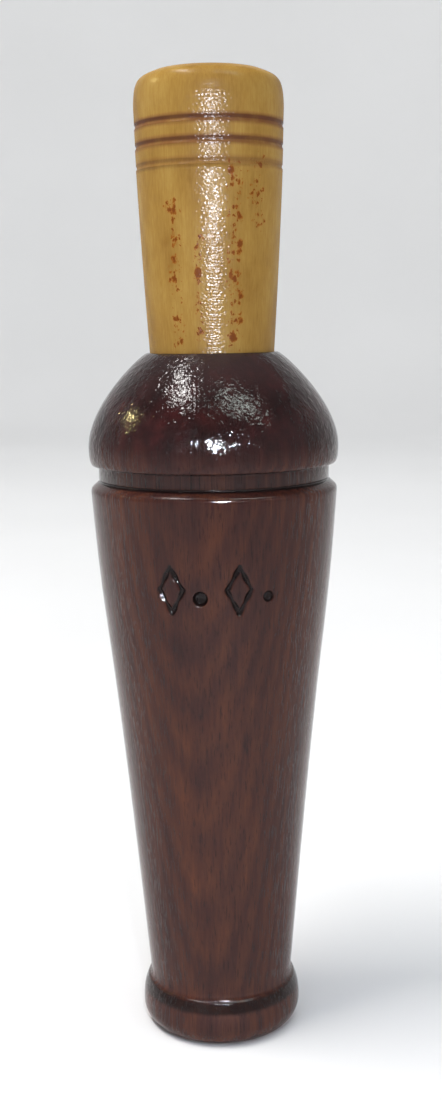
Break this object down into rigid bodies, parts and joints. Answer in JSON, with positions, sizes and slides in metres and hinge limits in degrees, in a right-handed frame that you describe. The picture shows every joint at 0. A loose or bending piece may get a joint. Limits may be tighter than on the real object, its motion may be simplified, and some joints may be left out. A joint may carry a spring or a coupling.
{
  "type": "duck call",
  "caption": "Turned wooden duck call: a walnut barrel with a lip bead, lanyard groove and domed top, and a pale pull-out stopper that holds a tone board, brass reed and cork wedge.",
  "frame": {"origin": "on the turning axis, at the face of the barrel's mouth end, on which the call stands", "axes": "+Z along the turning axis from the mouth end to the exhaust end of the stopper; the carved front faces -Y, so +X is to the right as it is looked at"},
  "size_m": [0.038, 0.038, 0.1461],
  "materials": {
    "walnut": "dark reddish-brown walnut under a thin satin lacquer",
    "boxwood": "yellow-ochre close-grained hardwood under a thin lacquer, with burned rings and reddish-brown speckles",
    "cedar": "bare sanded cedar",
    "reed_brass": "thin rolled brass strip",
    "cork": "natural cork"
  },
  "bodies": {
    "barrel": {"barrel": "walnut"},
    "stopper": {"stopper": "boxwood"},
    "tone_board": {"tone_board": "cedar"},
    "cork_wedge": {"cork_wedge": "cork"},
    "reed": {"reed_tail": "reed_brass"},
    "reed_tongue": {"reed_tongue": "reed_brass"}
  },
  "joints": [
    {"name": "stopper_pull", "type": "slide", "parent": "barrel", "child": "stopper", "axis": [0, 0, 1], "range_m": [0, 0.064]},
    {"name": "tone_board_pull", "type": "slide", "parent": "stopper", "child": "tone_board", "axis": [0, 0, -1], "range_m": [0, 0.026]},
    {"name": "wedge_pull", "type": "slide", "parent": "tone_board", "child": "cork_wedge", "axis": [0, 0, -1], "range_m": [0, 0.024]},
    {"name": "reed_slide", "type": "slide", "parent": "tone_board", "child": "reed", "axis": [0, 0, -1], "range_m": [0, 0.024]},
    {"name": "reed_beat", "type": "hinge", "parent": "reed", "child": "reed_tongue", "pos_m": [0, 0, 0.07], "axis": [1, 0, 0], "range_deg": [0, 2.4], "stiffness_Nm_per_rad": 0.12}
  ]
}
